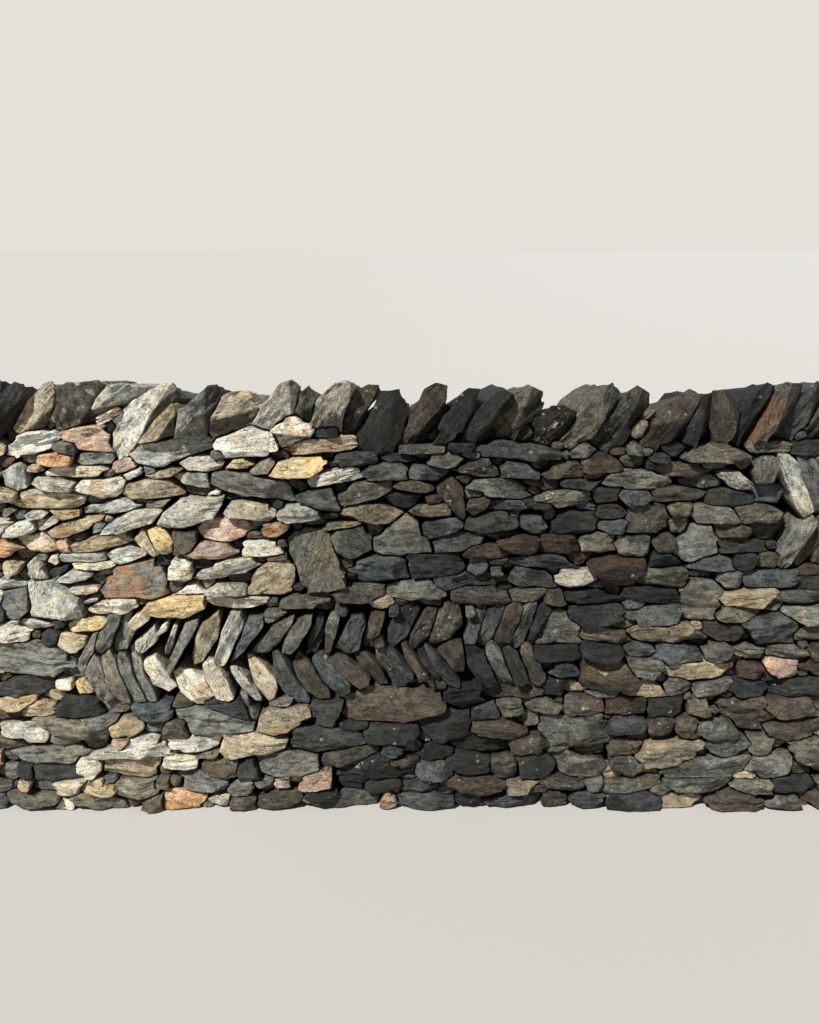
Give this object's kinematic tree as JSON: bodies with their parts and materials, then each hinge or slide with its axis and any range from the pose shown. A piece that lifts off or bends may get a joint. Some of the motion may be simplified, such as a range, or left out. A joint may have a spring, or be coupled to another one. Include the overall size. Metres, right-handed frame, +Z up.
{
  "type": "dry stone wall",
  "caption": "Battered double dry stone wall in split slate and schist, with herringbone panels in the coursed face, tall jumpers and a cope of leaning stones on edge.",
  "frame": {"origin": "middle of the wall's footprint, on the ground under the footing", "axes": "+X along the wall to the right of someone facing its front, +Y through the wall from front to back, +Z up"},
  "size_m": [3.2, 0.6, 1.25],
  "materials": {
    "footing_stone": "rough quarried slate, damp and soiled along the ground",
    "hearting_rubble": "packed rubble and earth, dark in the joints",
    "face_slate": "split slate and schist in greys, buffs and rust browns, weathered and lichened",
    "back_slate": "larger split slate, rougher and plainer than the face",
    "herringbone_slate": "thin split slate on edge, grey, buff and dark, with striated edges",
    "jumper_stone": "tall weathered blocks, grey and buff, with lichen",
    "cope_slate": "dark weathered slate on edge, with pale lichen"
  },
  "bodies": {
    "root": {"footing_course": "footing_stone", "hearting": "hearting_rubble", "front_course_1": "face_slate", "front_course_2": "face_slate", "front_course_3": "face_slate", "front_course_4": "face_slate", "front_course_5": "face_slate", "front_course_6": "face_slate", "front_course_7": "face_slate", "front_course_8": "face_slate", "front_course_9": "face_slate", "front_course_10": "face_slate", "front_course_11": "face_slate", "front_course_12": "face_slate", "front_course_13": "face_slate", "front_course_14": "face_slate", "front_course_15": "face_slate", "front_course_16": "face_slate", "back_course_1": "back_slate", "back_course_2": "back_slate", "back_course_3": "back_slate", "back_course_4": "back_slate", "back_course_5": "back_slate", "back_course_6": "back_slate", "back_course_7": "back_slate", "back_course_8": "back_slate", "low_panel_lower_row": "herringbone_slate", "low_panel_upper_row": "herringbone_slate", "high_panel_lower_row": "herringbone_slate", "high_panel_upper_row": "herringbone_slate", "jumper_stones": "jumper_stone", "cope_stones_left": "cope_slate", "cope_stones_right": "cope_slate", "cope_end_stone": "cope_slate"}
  },
  "joints": []
}
